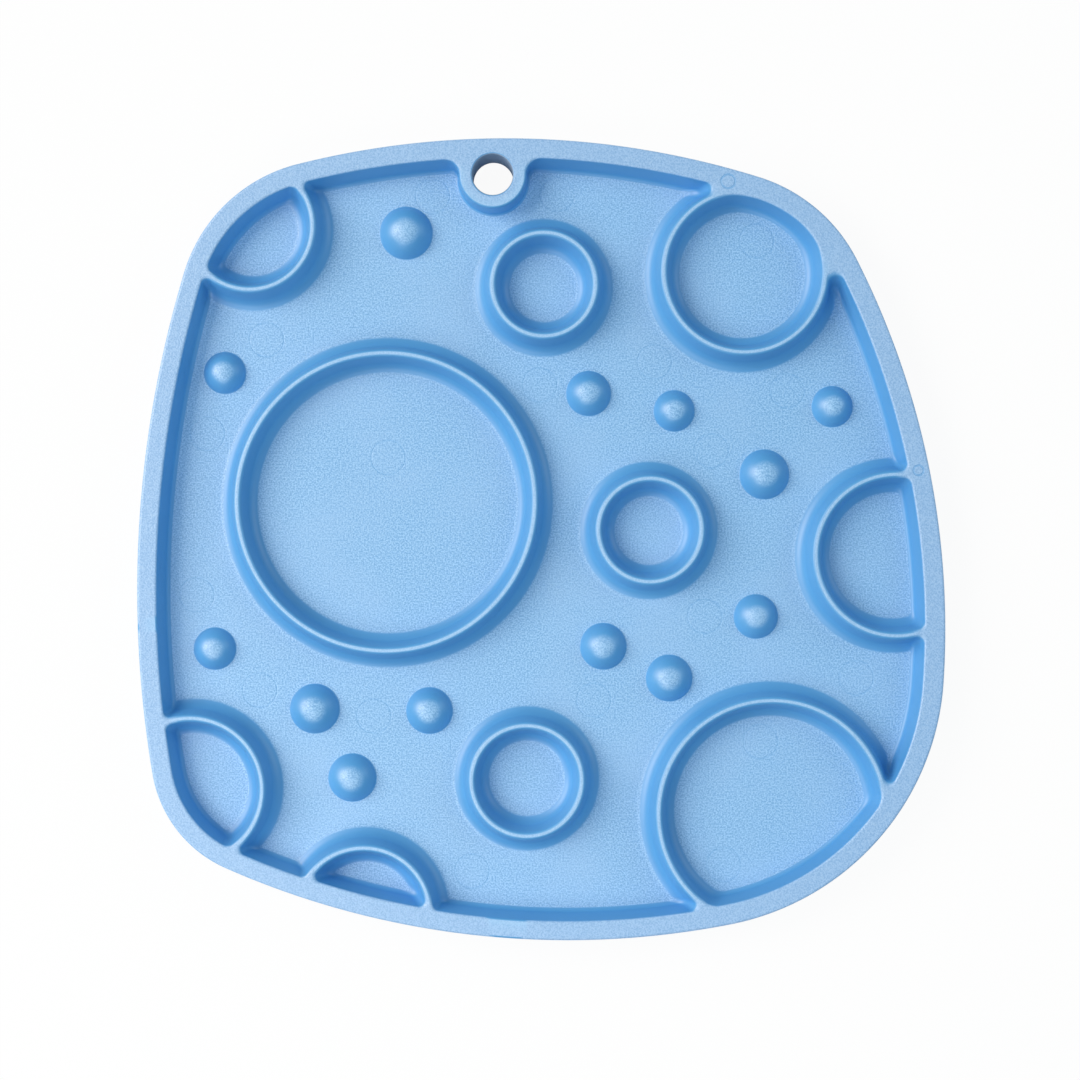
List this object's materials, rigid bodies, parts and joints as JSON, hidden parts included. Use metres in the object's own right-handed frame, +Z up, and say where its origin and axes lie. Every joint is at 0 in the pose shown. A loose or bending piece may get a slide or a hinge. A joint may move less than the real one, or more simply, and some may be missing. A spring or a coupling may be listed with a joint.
{
  "type": "lick mat",
  "caption": "Moulded pet lick mat: rounded square sheet with a raised rim, ring walls that form wells, domed nubs and a hanging hole.",
  "frame": {"origin": "middle of the mat's box on its underside", "axes": "+Z up out of the food side, +Y towards the hanging eyelet, +X to the right seen from above"},
  "size_m": [0.2063, 0.2047, 0.012],
  "materials": {
    "mat_rubber": "satin, fine mould grain"
  },
  "bodies": {
    "root": {"floor_sheet": "mat_rubber", "rim_wall": "mat_rubber", "large_ring": "mat_rubber", "small_ring_top": "mat_rubber", "small_ring_middle": "mat_rubber", "small_ring_bottom": "mat_rubber", "corner_ring_top_left": "mat_rubber", "corner_ring_top_right": "mat_rubber", "edge_ring_right": "mat_rubber", "corner_ring_bottom_right": "mat_rubber", "edge_ring_bottom": "mat_rubber", "corner_ring_bottom_left": "mat_rubber", "lick_nub_01": "mat_rubber", "lick_nub_02": "mat_rubber", "lick_nub_03": "mat_rubber", "lick_nub_04": "mat_rubber", "lick_nub_05": "mat_rubber", "lick_nub_06": "mat_rubber", "lick_nub_07": "mat_rubber", "lick_nub_08": "mat_rubber", "lick_nub_09": "mat_rubber", "lick_nub_10": "mat_rubber", "lick_nub_11": "mat_rubber", "lick_nub_12": "mat_rubber", "lick_nub_13": "mat_rubber"}
  },
  "joints": []
}
